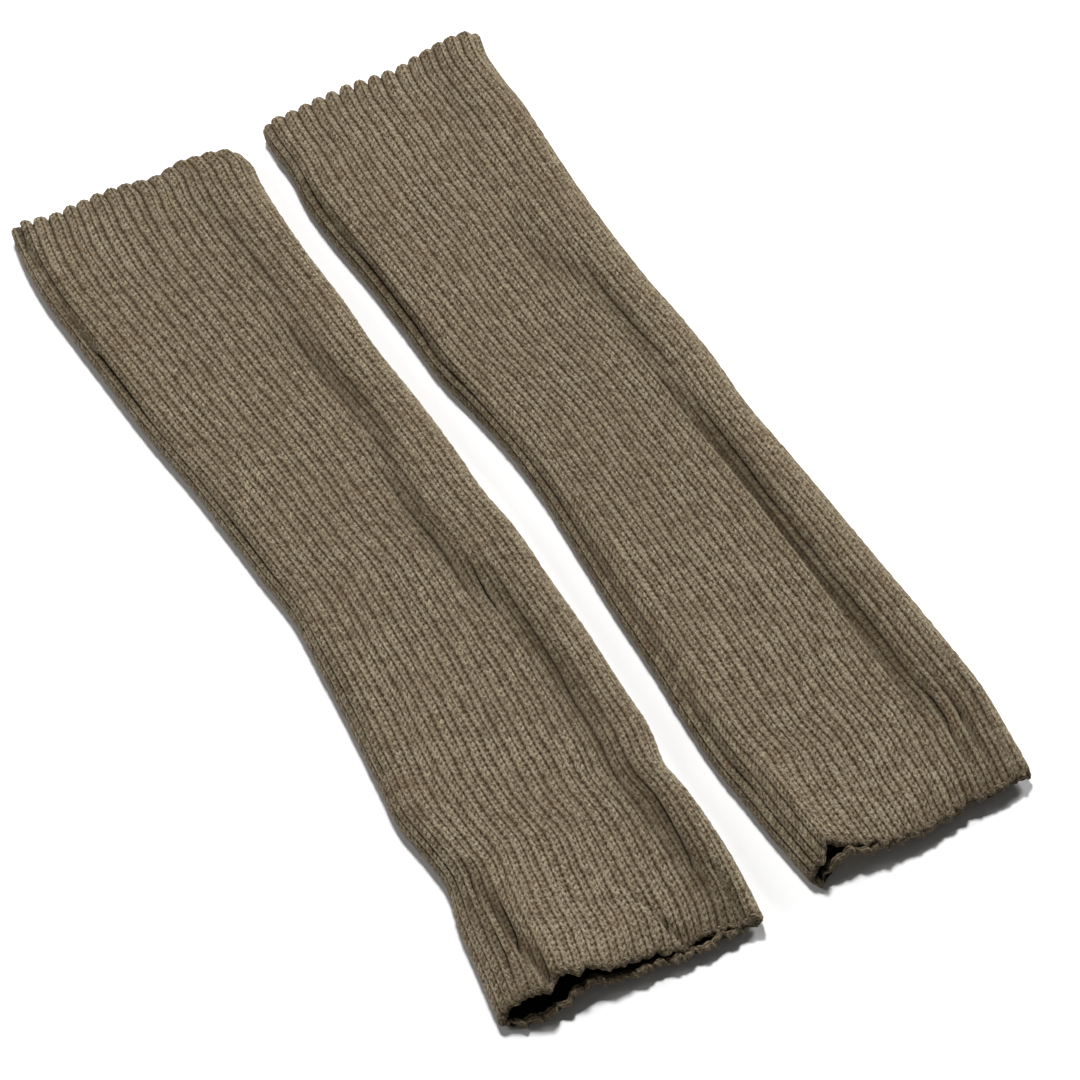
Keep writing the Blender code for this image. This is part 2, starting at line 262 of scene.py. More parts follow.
RIGHT_MOUTHS = (
    Mouth(-1.00, 3.2, 420.0, 3.2, 420.0),
    Mouth(-0.90, 3.4, 418.4, 4.6, 421.0),
    Mouth(-0.79, 3.2, 413.8, 5.5, 419.6),
    Mouth(-0.66, 2.4, 416.4, 5.0, 418.6),
    Mouth(-0.52, 1.5, 418.8, 4.4, 421.0),
    Mouth(-0.35, 0.9, 421.2, 4.0, 421.2),
    Mouth(0.00, 0.8, 422.0, 3.5, 421.4),
    Mouth(0.25, 1.4, 420.2, 3.5, 420.2),
    Mouth(0.45, -1.0, 418.8, 2.2, 418.0),
    Mouth(0.60, -2.6, 419.8, 1.0, 417.2),
    Mouth(0.85, -3.4, 418.6, -1.0, 416.4),
    Mouth(1.00, -2.4, 417.4, -1.0, 417.2),
)
RIGHT_EDGING = (
    Edging(-1.00, 0.0, 0.0),
    Edging(-0.90, 0.0, 0.8),
    Edging(-0.80, 0.0, 4.4),
    Edging(-0.68, 0.2, 6.0),
    Edging(-0.45, 0.4, 4.8),
    Edging(-0.20, 1.4, 3.8),
    Edging(0.10, 2.0, 2.8),
    Edging(0.50, 2.0, 2.6),
    Edging(0.85, 0.6, 1.8),
    Edging(1.00, 0.0, 0.8),
)
RIGHT_CURLS = (
    Curl(24.0, 3.0, 0.6, 6.0),
)
RIGHT_SLACK = Slack(372.0, -38.0, 12.0, 0.38)
RIGHT_COLUMNS = (
    Column(0.000, -1.30, 0.05, 0.05, 0.6),  # bottom of the groove
    Column(0.110, 0.10, 0.08, 0.06, 1.0),   # first wale: left leg, by the groove
    Column(0.220, -0.14, 0.24, 0.06, 0.2),  # point of the V
    Column(0.345, 0.30, 0.36, 0.00, 0.0),   # right leg, slanting lumps
    Column(0.475, -0.80, 0.08, 0.20, 0.6),  # between the wales
    Column(0.580, 0.50, 0.06, 0.00, 1.0),   # second wale: left leg, a smooth cord
    Column(0.690, 0.30, 0.20, 0.00, 0.4),   # point of the V
    Column(0.825, -0.34, 0.32, 0.16, 0.1),  # right leg, turning into the groove
)

TUBES = (
    Tube("left_tube", "left_leg_warmer", Place(-57.23, -5.18, 1.082),
         LEFT_EDGES, LEFT_PROFILE, LEFT_FOLDS, LEFT_MOUTHS, LEFT_EDGING, LEFT_CURLS,
         LEFT_SLACK, LEFT_COLUMNS, 0.26, 3),
    Tube("right_tube", "right_leg_warmer", Place(57.47, 3.02, -1.082),
         RIGHT_EDGES, RIGHT_PROFILE, RIGHT_FOLDS, RIGHT_MOUTHS, RIGHT_EDGING, RIGHT_CURLS,
         RIGHT_SLACK, RIGHT_COLUMNS, 0.65, 8),
)

# %% [markdown]
# ## From tables to smooth sections
#
# A cut across the tube is a closed ring: a top line that rises from the left
# edge, crosses the folds and comes down to the right edge, and an underside that
# lies flat on the table. numpy works out every ring at once: the stations run
# down the rows of an array and the points of the ring run along its columns.


# %% Read a table on a smooth curve
def read(rows, column, at):
    """A table's column at any place, on a cubic curve through its rows.

    Between two rows the value is their smooth blend plus a term that gives the
    curve the slope of its neighbours at either end.
    """
    knots = np.array([row[0] for row in rows], float)
    values = np.array([getattr(row, column) for row in rows], float)
    slopes = np.gradient(values, knots)
    at = np.clip(at, knots[0], knots[-1])
    k = np.clip(np.searchsorted(knots, at) - 1, 0, len(knots) - 2)
    step = knots[k + 1] - knots[k]
    t = (at - knots[k]) / step
    rise = t * t * (3 - 2 * t)
    return (values[k] * (1 - rise) + values[k + 1] * rise
            + step * t * (1 - t) * ((1 - t) * slopes[k] - t * slopes[k + 1]))


def slope_share(distance, width, straight=0.0):
    """How far a side has risen, 0 to 1: a quarter circle, or a bank where straight."""
    t = np.clip(distance / width, 0.0, 1.0)
    round_side = np.sqrt(1 - (1 - t) ** 2)
    return round_side + straight * (t ** 0.72 - round_side)


def smooth_step(t):
    """0 below 0, 1 above 1, and a soft rise in between."""
    t = np.clip(t, 0.0, 1.0)
    return t * t * (3 - 2 * t)


# %% Lay the folds and draw the sections
# painted shade: the colour is darkened along each fold, in proportion to its depth
FOLD_PAINTED_SHADE = 0.27        # how much each mm of a fold's depth darkens the cloth


def fold_depth(folds, x, s):
    """How far the folds lower the cloth: each is a bell-shaped trough, whose middle
    follows a parabola through three places and whose depth fades at its ends."""
    depth = np.zeros(np.broadcast(x, s).shape)
    for fold in folds:
        along = np.clip((s - fold.start) / (fold.end - fold.start), 0.0, 1.0)
        middle = (fold.x_start * (1 - along) * (1 - 2 * along)
                  + fold.x_half * 4 * along * (1 - along)
                  + fold.x_end * along * (2 * along - 1))
        strength = np.sin(math.pi * along) ** 0.6
        off = (x - middle) / fold.width
        depth += fold.depth * strength * np.exp(-off ** 2)
    return depth


def section_lines(tube, s):
    """The top line, left to right, and the underside, right to left, at stations s.

    The cosine spacing packs the points of a line towards its steep ends.
    """
    s = s[:, None]
    left, right = read(tube.edges, "left", s), read(tube.edges, "right", s)
    turn = np.linspace(0, math.pi, LINE_POINTS)
    x = left + (right - left) * (1 - np.cos(turn)) / 2
    across = (2 * x - left - right) / (right - left)
    left_high, mid_high, right_high = (
        read(tube.profile, name, s) for name in ("left_high", "mid_high", "right_high"))
    bend = (left_high + right_high) / 2 - mid_high
    high = mid_high + across * (right_high - left_high) / 2 + bend * across ** 2
    high = high - fold_depth(tube.folds, x, s)
    left_slope = slope_share(
        x - left, read(tube.profile, "left_rise", s), read(tube.profile, "straight", s))
    right_slope = slope_share(right - x, read(tube.profile, "right_rise", s))
    top = WIDEST_HIGH + (high - WIDEST_HIGH) * left_slope * right_slope
    lift = slope_share(x - left, UNDER_ROUND) * slope_share(right - x, UNDER_ROUND)
    under = WIDEST_HIGH * (1 - lift)
    return np.stack([x, top], -1), np.stack([x, under], -1)[:, ::-1]


def outward(ring):
    """Unit normals of closed rings that run clockwise, one ring in each row."""
    ahead = np.roll(ring, -1, axis=1) - np.roll(ring, 1, axis=1)
    normal = np.stack([-ahead[..., 1], ahead[..., 0]], -1)
    return normal / np.linalg.norm(normal, axis=-1, keepdims=True)


def spread(line, shares, values=None):
    """What a line holds at shares of its own length, for all rows in one np.interp.

    Row number k is moved on by 2 k, so that the rows follow each other as one
    rising list.
    """
    steps = np.linalg.norm(np.diff(line, axis=1), axis=-1)
    run = np.concatenate([np.zeros((len(line), 1)), np.cumsum(steps, axis=1)], 1)
    run /= run[:, -1:]
    row = 2.0 * np.arange(len(line))[:, None]
    values = line if values is None else values
    at, known = (shares + row).ravel(), (run + row).ravel()
    found = [np.interp(at, known, values[..., k].ravel()) for k in range(2)]
    return np.stack(found, -1).reshape(*shares.shape, 2)


# %% [markdown]
# ## The stitches as a grid
#
# A rib is two columns of V-shaped stitches, called wales, and a narrow groove
# beside them. Each V has two legs of yarn. In this yarn the left leg stands
# almost upright and the right leg leans over, which is why the photo shows
# smooth cords next to slanting strokes. The grid is bent to follow the legs: its
# rows run down the left leg and up the right one, so that a ridge of the mesh
# lies on each leg with only three rows to a course.

# %% Set out the columns of a rib
ROWS_PER_COURSE = 3
LEFT_SLANT, RIGHT_SLANT = 4 / 3, 2 / 3      # how far a leg climbs, in courses
FINE_RIBS = (0, 16)     # ribs of the underside that show at the sides
ROWS = COURSES * ROWS_PER_COURSE + 1
Ring = namedtuple("Ring", "at wale high leg dim cord shift")


def ring_columns(rib_columns):
    """The columns round the tube: where each lies in ribs and in wales, its relief,
    and how many rows it is moved by to follow the legs of the V.

    The eight columns of a rib are a quarter of a wale apart. Hidden ribs of the
    underside keep only two of them.
    """
    plain = {0: rib_columns[0], 4: Column(0.5, 0.4, 0.3, 0.0, 0.3)}
    full = dict(enumerate(rib_columns))
    rows = []
    for rib in range(2 * RIBS_ON_TOP):
        hidden = rib >= RIBS_ON_TOP and rib - RIBS_ON_TOP not in FINE_RIBS
        for k, column in (plain if hidden else full).items():
            rows.append((rib + column.share, 2 * rib + k / 4, column.high, column.leg,
                         column.dim, column.cord, (-2, -2, 0, -1)[k % 4]))
    return Ring(*np.array(rows).T)


RINGS = {tube.name: ring_columns(tube.columns) for tube in TUBES}
TOP_COLUMNS = 8 * RIBS_ON_TOP
print("grid:", ROWS, "rows of", len(RINGS["left_tube"].at), "points")


# %% Shape the yarn
def leg_slant(wale):
    """How far up a V, in courses, the yarn is at a place across the wale, 0 to 1."""
    return LEFT_SLANT * np.maximum(1 - 2 * wale, 0) + RIGHT_SLANT * np.maximum(2 * wale - 1, 0)


def yarn_round(phase):
    """The round back of a leg, 0 in the crease between two legs and 1 on top."""
    return 1 - np.abs(2 * (phase % 1.0) - 1) ** 2.5


def sway(s, seed, reach, count):
    """Slow waves along the tube, a different one for each of count columns: four
    sines with seeded phases and wavelengths from 110 down to 9 mm."""
    rng = np.random.default_rng(seed)
    phase = rng.uniform(0, 2 * math.pi, (4, 1, count))
    wavelength = np.array([110.0, 47.0, 23.0, 9.0])[:, None, None]
    weight = np.array([1.0, 0.6, 0.4, 0.25])[:, None, None]
    return reach * (weight * np.sin(2 * math.pi * s[None, :, None] / wavelength + phase)).sum(0)


# %% Work out the mean surface
RIB_WANDER = 0.0027     # how far a rib strays, as a share of the way across


def mean_surface(tube):
    """Points and normals of the cloth's middle outer surface, and the inside, on the
    rows and columns of the grid before the rows are bent."""
    s = np.linspace(0, TUBE_LENGTH, ROWS)
    top, under = section_lines(tube, s)
    ring = np.concatenate([top[:, :-1], under[:, :-1]], 1)
    normal = outward(ring)
    inside = ring - normal * CLOTH
    parts = []
    at = RINGS[tube.name].at
    for line, first, columns in (
            (top, 0, at[:TOP_COLUMNS]), (under, LINE_POINTS - 1, at[TOP_COLUMNS:])):
        share = columns / RIBS_ON_TOP % 1.0
        wander = sway(s, tube.seed, RIB_WANDER, RIBS_ON_TOP + 1)
        rib = np.minimum(np.round(share * RIBS_ON_TOP).astype(int), RIBS_ON_TOP)
        shares = share + wander[:, rib] * np.sin(math.pi * share)
        shares = np.maximum.accumulate(shares, axis=1)
        wrap = np.arange(first, first + LINE_POINTS) % ring.shape[1]
        parts.append((spread(line, shares), spread(line, shares, normal[:, wrap]),
                      spread(inside[:, wrap], np.broadcast_to(share, shares.shape))))
    point, normal, inner = (np.concatenate(pair, 1) for pair in zip(*parts))
    normal /= np.linalg.norm(normal, axis=-1, keepdims=True)
    return point, normal, inner


def bend_rows(values, rows):
    """The grid read at fractions of a row: each value is a blend of the rows on
    either side of the place that is asked for."""
    low = np.clip(rows.astype(int), 0, len(values) - 2)
    part = (rows - low)[..., None]
    column = np.arange(values.shape[1])[None, :]
    return values[low, column] * (1 - part) + values[low + 1, column] * part


# %% [markdown]
# ## The mouths
#
# The four ends are not cut straight: each rib ends a little beyond the grooves
# beside it, the top cloth pulls back further than the cloth beneath it, and the
# finished edge rolls up in small curls. The end of the wall is a half circle
# from the outside to the inside, swollen at each wale like the chain of loops
# that closes a piece of knitting.

# %% Set out the ends of the cloth
NEAR_LUMP = 0.15        # how far the middle of a rib ends beyond its sides, near end
WALE_LUMP = 0.12        # the same for a wale
FAR_RAGGED = 0.12       # how unevenly the wales end at the far end
NEAR_RAGGED = 0.35      # and at the near end
EDGE_SWELL = 0.15       # how much the wales swell the end of the wall
EDGING_REACH = 6.0      # length over which an end droops, lifts or darkens
RIM_ROWS = 3
INNER_ROWS = 16
FADE_ROWS = 9           # the bent rows straighten over this many rows at an end
RAGGED_ROWS = 4.0       # how many rows the lumps of an end reach into the cloth
RIM_COURSES = 0.7       # how many courses of the pattern go round the rim
# painted shade: the cloth is painted darker towards a near mouth and round both rims, and the
# inside is painted as shadow
NEAR_PAINTED_SHADE = 0.45        # how dark the cloth gets towards a near mouth
NEAR_PAINTED_SHADE_REACH = 2.2   # and over what length, in mm
NEAR_RIM_SHADE = (0.7, 0.9, 1.0)    # of the rim's rows, from the outside in
FAR_RIM_SHADE = (0.8, 0.4, 0.3)     # and from the inside out


def stations(tube, x, along):
    """Where a share along the tube lies in s, between its two mouths.

    The mouths' tables are read by how far across the tube the point is, from the
    top columns of a table on the top and the under columns beneath.
    """
    low, high = x.min(1, keepdims=True), x.max(1, keepdims=True)
    across = 2 * (x - low) / (high - low) - 1
    is_top = np.arange(x.shape[1]) <= TOP_COLUMNS
    far, near = (
        np.where(is_top, read(tube.mouths, end + "_top", across),
                 read(tube.mouths, end + "_under", across))
        for end in ("far", "near"))
    return far + (near - far) * along


def curl_height(curls, x, s_left):
    """How far the lower cloth's edge curls up near a mouth, s_left from its end."""
    lift = np.zeros(np.broadcast(x, s_left).shape)
    for curl in curls:
        near_end = np.exp(-(s_left / (0.5 * curl.reach)) ** 2)
        lift += curl.high * near_end * np.exp(-((x - curl.x) / curl.width) ** 2)
    return lift


def slackness(slack, x, s):
    """How far the ribs are stretched flat near a mouth: a share that grows along the
    last part of the tube, in the middle of its width."""
    grow = smooth_step((s - slack.start) / (TUBE_LENGTH - slack.start))
    inside = (smooth_step((x - slack.x_low) / 8 + 0.5)
              * smooth_step((slack.x_high - x) / 8 + 0.5))
    return slack.share * grow * inside


def rim(start, end, outward_s, swell):
    """Rows of a half circle from one edge of the wall's end to the other.

    A row at angle a lies (1 - cos a) / 2 of the way over, and stands beyond the
    end of the cloth by half the wall's thickness times sin a.
    """
    angle = math.pi * np.arange(1, RIM_ROWS + 1)[:, None, None] / (RIM_ROWS + 1)
    over = start + (end - start) * (1 - np.cos(angle)) / 2
    thick = np.linalg.norm((end - start)[:, [0, 2]], axis=-1)
    over[..., 1] += outward_s * np.sin(angle[..., 0]) * thick / 2 * swell
    return over


# %% Raise the ribs and the stitches
LEG_RELIEF = 0.85       # how much of its relief a leg of yarn gets
YARN_MEAN = 0.75        # the mean of yarn_round, which leaves the surface in place
STITCH_UNEVEN = 0.14    # how unevenly the stitches stand out, in mm
LEFT_FLAT = 0.5         # how much flatter the ribs lie on a left side
UNDER_PRESSED = 0.62    # how far the ribs beneath are pressed in, in mm
FOLD_GROOVE = 0.55      # how much deeper a groove is in a fold, a share of its depth
# painted shade: the grooves in a fold are painted darker still
FOLD_GROOVE_PAINTED_SHADE = 1.4  # and how much darker, a share of the fold's darkness
END_GROOVE = 0.6        # how much deeper the grooves are at the far end
# painted shade: the grooves near the far end are painted darker
END_GROOVE_PAINTED_SHADE = 0.3   # and how much darker
END_REACH = 24.0        # over this length
END_ROUND = 0.75        # how nearly the ribs are plain round rolls there
ROUND_REACH = 9.0       # over this length


def outer_rows(tube, point, normal, rows):
    """The outer face with its stitches, the place of each point in courses, the painted
    shade of the folds, of the grooves near the far end and of the hidden sides of the ribs, and
    how flat the ribs lie.

    A point stands out from the mean surface by its column's height and by the round
    back of its leg. Near the far end its height turns into that of a round roll,
    1.9 |sin(pi k)| ** 0.8 - 1.35, where k counts ribs.
    """
    ring = RINGS[tube.name]
    course = rows / ROWS_PER_COURSE
    phase = course + leg_slant(ring.wale % 1.0)
    rng = np.random.default_rng(tube.seed + 100)
    uneven = rng.normal(0, 1, (COURSES + 4, 4 * RIBS_ON_TOP + 1))
    stitch = uneven[np.floor(phase).astype(int), np.round(ring.wale).astype(int)]
    is_top = np.arange(len(ring.at)) <= TOP_COLUMNS
    s = rows * TUBE_LENGTH / (ROWS - 1)
    fold = is_top * np.maximum(fold_depth(tube.folds, point[..., 0], s), 0)
    flat = is_top * slackness(tube.slack, point[..., 0], s)
    flat = np.maximum(flat, is_top * LEFT_FLAT * np.clip(-normal[..., 0], 0, 1))
    far_end = np.exp(-(s / END_REACH) ** 2)
    upward = 0.45 + 0.55 * np.clip(normal[..., 1], 0, 1)
    is_groove = ring.high < -1.0
    roll = 1.9 * np.abs(np.sin(math.pi * ring.at)) ** 0.8 - 1.35
    high = ring.high + END_ROUND * np.exp(-(s / ROUND_REACH) ** 2) * (roll - ring.high)
    relief = (high * (1 - flat)
              + LEG_RELIEF * ring.leg * upward * (yarn_round(phase) - YARN_MEAN)
              + STITCH_UNEVEN * (0.4 + ring.leg) * stitch
              - is_groove * (FOLD_GROOVE * fold + END_GROOVE * far_end))
    lie_flat = np.clip(-normal[..., 1], 0, 1) ** 2
    outer = point + normal * (relief - UNDER_PRESSED * lie_flat)[..., None]
    outer[..., 1] = np.maximum(outer[..., 1], 0.0)
    # painted shade: the hidden sides of the ribs, the grooves near the far end and the folds
    # are darkened in the colour
    shade = (ring.dim + END_GROOVE_PAINTED_SHADE * is_groove * far_end) * (1 - flat)
    shade += FOLD_PAINTED_SHADE * fold * (1 + FOLD_GROOVE_PAINTED_SHADE * is_groove)
    return outer, course, shade, flat


# %% Build the whole wall of one tube
def knitted_wall(tube):
    """The closed wall on one grid: out along the tube, round the near rim, back
    along the inside and round the far rim. Gives points x, s, z, the stitch places,
    the painted shade and how flat the ribs lie."""
    ring = RINGS[tube.name]
    point, normal, inner = mean_surface(tube)
    row = np.arange(ROWS, dtype=float)[:, None]
    from_end = np.minimum(row, ROWS - 1 - row)
    bent = row + ring.shift * smooth_step(from_end / FADE_ROWS)
    bent = np.clip(bent, 0, ROWS - 1)
    point, normal = bend_rows(point, bent), bend_rows(normal, bent)
    outer_xz, course, shade, flat_ribs = outer_rows(tube, point, normal, bent)

    rng = np.random.default_rng(tube.seed + 200)
    is_fine = (ring.at < RIBS_ON_TOP + 1) | (ring.at >= 2 * RIBS_ON_TOP - 1)
    rib_wave = is_fine * -np.cos(2 * math.pi * ring.at)
    round_wave = is_fine * (2 * np.abs(np.sin(math.pi * ring.at)) ** 0.6 - 1.3)
    wale_wave = is_fine * -WALE_LUMP * np.cos(2 * math.pi * ring.wale)
    far_ragged, near_ragged = (is_fine * np.interp(
        ring.wale, np.arange(4 * RIBS_ON_TOP), rng.normal(0, 1, 4 * RIBS_ON_TOP))
        for _ in range(2))
    far_end = tube.far_lump * round_wave + 0.4 * wale_wave + FAR_RAGGED * far_ragged
    near_end = NEAR_LUMP * rib_wave + wale_wave + NEAR_RAGGED * near_ragged
    ragged = np.where(row > ROWS / 2, near_end, -far_end) * np.exp(
        -(from_end / RAGGED_ROWS) ** 2)
    along = bent / (ROWS - 1)
    outer_s = stations(tube, outer_xz[..., 0], along) + ragged
    outer = np.stack([outer_xz[..., 0], outer_s, outer_xz[..., 1]], -1)

    inner_along = (1 - np.cos(np.linspace(0, math.pi, INNER_ROWS)))[:, None] / 2
    each = np.ones(len(ring.at))
    inner_xz = bend_rows(inner, inner_along * (ROWS - 1) * each)
    inner_s = stations(tube, inner_xz[..., 0], inner_along)
    inner_s[0] -= far_end
    inner_s[-1] += near_end
    inner = np.stack([inner_xz[..., 0], inner_s, inner_xz[..., 1]], -1)

    swell = 1 + EDGE_SWELL * np.sin(math.pi * (ring.wale % 1.0)) ** 2
    near = rim(outer[-1], inner[-1], 1.0, swell)
    far = rim(inner[0], outer[0], -1.0, swell)
    wall = np.concatenate([outer, near, inner[::-1], far])

    is_under = np.arange(wall.shape[1]) > TOP_COLUMNS
    low, high = wall[..., 0].min(1, keepdims=True), wall[..., 0].max(1, keepdims=True)
    across = 2 * (wall[..., 0] - low) / (high - low) - 1
    mouth = np.where(is_under, read(tube.mouths, "near_under", across),
                     read(tube.mouths, "near_top", across))
    left = np.maximum(mouth - wall[..., 1], 0)
    reach = np.exp(-(left / EDGING_REACH) ** 2)
    lift = (read(tube.edging, "under_lift", across) * reach
            + curl_height(tube.curls, wall[..., 0], left))
    drop = read(tube.edging, "top_drop", across) * reach
    wall[..., 2] += np.where(is_under, lift, -drop)

    half_turn = np.sin(math.pi * np.arange(1, RIM_ROWS + 1) / (RIM_ROWS + 1))[:, None]
    stitch_at = np.concatenate([
        course, COURSES + RIM_COURSES * half_turn * each,
        COURSES * inner_along[::-1] * each, -RIM_COURSES * half_turn * each])
    # painted shade towards the near mouth and round the rims; the inside gets full shade, which
    # the wool paints as near-black shadow
    mm_from_end = from_end * TUBE_LENGTH / ROWS
    near_painted_shade = NEAR_PAINTED_SHADE * np.exp(-(mm_from_end / NEAR_PAINTED_SHADE_REACH) ** 2)
    shade = shade + near_painted_shade * (row > ROWS / 2)
    near_rim = np.array(NEAR_RIM_SHADE)[:, None] * each
    far_rim = np.array(FAR_RIM_SHADE)[:, None] * each
    shade = np.concatenate([
        np.clip(shade, 0, 0.8), near_rim, np.ones((INNER_ROWS, 1)) * each, far_rim])
    flat_ribs = np.pad(flat_ribs, ((0, len(wall) - ROWS), (0, 0)), mode="edge")
    return wall, stitch_at, shade, flat_ribs


# %% Lay the closing chain along a near mouth
CHAIN_THICK = 2.5       # the chain of loops that closes the knitting, across
CHAIN_STEP = 0.45       # length of a piece of it between two rows of points
CHAIN_AROUND = 12
LOOP_LENGTH = 3.1
CHAIN_STRAY = 0.36      # how far the chain strays from an even line
CHAIN_FULLER = 0.28     # how much fuller its loops are along the lower cloth


def closing_chain(tube, wall):
    """Points x, s, z of the chain round the near mouth, its UV and its painted shade.

    Its middle follows the middle of the wall's end. Its half thickness is
    (0.72 + 0.4 |sin(pi k + a)|) of CHAIN_THICK / 2, where k counts loops along it
    and a is the angle round it, so that the loops lean like the strands of a rope.
    Each loop has a size of its own, and those of the lower cloth are fuller.
    """
    ends = (wall[ROWS - 1] + wall[ROWS + RIM_ROWS]) / 2
    ends = np.concatenate([ends, ends[:1]])
    run = np.append(0, np.cumsum(np.linalg.norm(np.diff(ends, axis=0), axis=1)))
    count = round(run[-1] / CHAIN_STEP)
    share = np.arange(count) / count
    path = np.stack([np.interp(share * run[-1], run, ends[:, k]) for k in range(3)], -1)
    near = np.exp(-(np.fft.fftfreq(count) * 7) ** 2)
    path = np.fft.ifft(np.fft.fft(path, axis=0) * near[:, None], axis=0).real

    rng = np.random.default_rng(tube.seed + 300)
    waves = rng.integers(10, 46, 10)
    phase = rng.uniform(0, 2 * math.pi, (2, 10))
    stray = np.sin(2 * math.pi * waves * share[:, None, None] + phase).sum(-1)
    stray *= CHAIN_STRAY / 1.6
    out = outward(path[None, :, [0, 2]])[0]
    path[:, 1] += 0.4 + stray[:, 0]
    path[:, [0, 2]] += out * (0.5 * stray[:, 1:] - 0.1)

    loops = round(run[-1] / LOOP_LENGTH)
    size = rng.uniform(0.78, 1.28, loops + 1)
    size = np.interp(share * loops, np.arange(loops + 1), size)[:, None]
    angle = 2 * math.pi * np.arange(CHAIN_AROUND) / CHAIN_AROUND
    bead = np.abs(np.sin(math.pi * loops * share[:, None] + angle))
    fuller = 1 + CHAIN_FULLER * np.clip(-out[:, 1:], 0, 1)
    radius = CHAIN_THICK / 2 * fuller * size * (0.72 + 0.4 * bead)
    points = np.stack([
        path[:, None, 0] + radius * np.cos(angle) * out[:, None, 0],
        path[:, None, 1] - radius * np.sin(angle),
        path[:, None, 2] + radius * np.cos(angle) * out[:, None, 1]], -1)
    points[..., 2] = np.maximum(points[..., 2], 0.02)
    along = np.broadcast_to(2 * loops * share[:, None], bead.shape)
    # the last value is painted shade: strong all along the chain and strongest between its
    # loops, where they dip
    return points, angle / math.pi, along, 0.70 - 0.42 * bead


# %% Turn the grid into a mesh
def placed(points, place):
    """Points x, s, z of a tube as places in the room: turned by its heading about
    the vertical and moved to where it lies, in metres."""
    heading = math.radians(place.heading_deg)
    x, ahead, z = points[..., 0], TUBE_LENGTH / 2 - points[..., 1], points[..., 2]
    return np.stack([
        place.x + x * math.cos(heading) + ahead * math.sin(heading),
        place.y - x * math.sin(heading) + ahead * math.cos(heading),
        z], -1) * MM


def grid_mesh(name, points, u, u_turn, v, values):
    """A mesh on a grid that closes on itself both ways, with its UV map and values;
    u grows by u_turn from the first column round to it again.

    Point (r, c) has number r * columns + c. Each face takes the points (r, c),
    (r+1, c), (r+1, c+1) and (r, c+1), where the last row and column are followed
    by the first.
    """
    rows, columns = points.shape[:2]
    r, c = np.mgrid[0:rows, 0:columns]
    r_next, c_next = (r + 1) % rows, (c + 1) % columns
    corners = [(r, c), (r_next, c), (r_next, c_next), (r, c_next)]
    faces = np.stack([a * columns + b for a, b in corners], -1).reshape(-1, 4)
    u_closed = np.append(u, u[0] + u_turn)
    uv = np.stack([
        np.stack([u_closed[b], v[a, b % columns]], -1)
        for a, b in [(r, c), (r_next, c), (r_next, c + 1), (r, c + 1)]], 2)

    mesh = bpy.data.meshes.new(name)
    mesh.vertices.add(rows * columns)
    mesh.vertices.foreach_set("co", points.astype(np.float32).ravel())
    mesh.loops.add(faces.size)
    mesh.loops.foreach_set("vertex_index", faces.astype(np.int32).ravel())
    mesh.polygons.add(len(faces))
    mesh.polygons.foreach_set("loop_start", np.arange(0, faces.size, 4, dtype=np.int32))
    mesh.update(calc_edges=True)
    mesh.uv_layers.new(name="knit").data.foreach_set("uv", uv.astype(np.float32).ravel())
    for label, value in values.items():
        layer = mesh.attributes.new(label, "FLOAT", "POINT")
        value = np.broadcast_to(value, (rows, columns))
        layer.data.foreach_set("value", value.astype(np.float32).ravel())
    mesh.shade_smooth()
    piece = bpy.data.objects.new(name, mesh)
    bpy.context.scene.collection.objects.link(piece)
    return piece


# %% Knit both tubes
pieces, chains = {}, {}
for tube in TUBES:
    wall, stitch_at, shade, flat_ribs = knitted_wall(tube)
    ring = RINGS[tube.name]
    pieces[tube.name] = grid_mesh(
        tube.name, placed(wall, tube.place), ring.wale / 2, 2 * RIBS_ON_TOP, stitch_at,
        {"shade": shade, "cord": ring.cord, "flat": flat_ribs})
    points, around, along, shade = closing_chain(tube, wall)
    name = tube.name.replace("tube", "closing_chain")
    chains[tube.name] = grid_mesh(name, placed(points, tube.place), around, 2.0, along,
                                  {"shade": shade, "cord": 0.5, "flat": 1.0})
    count = 2 * len(pieces[tube.name].data.polygons)
    print(tube.name, count, "triangles,", round(wall[..., 2].max(), 1), "mm high")

# %% [markdown]
# ## The wool
#
# The geometry carries the ribs and the legs of the stitches. The material adds
# what is finer: the crease round each leg, the rows of dark dots between the
# wales, the twist of the plies, loose fibres, and stitches that take the dye a
# little differently, lighter or darker at random. It also paints shade into the
# colour: in the creases, holes, dots and grooves, on the flanks of the legs, in the
# folds, at the near mouths and on the chains, with a painted highlight on the smooth
# cords and painted shadow inside the tubes. It reads the UV map, in which u counts
# ribs round the tube and v counts courses along it, so the pattern follows the cloth round
# every fold.


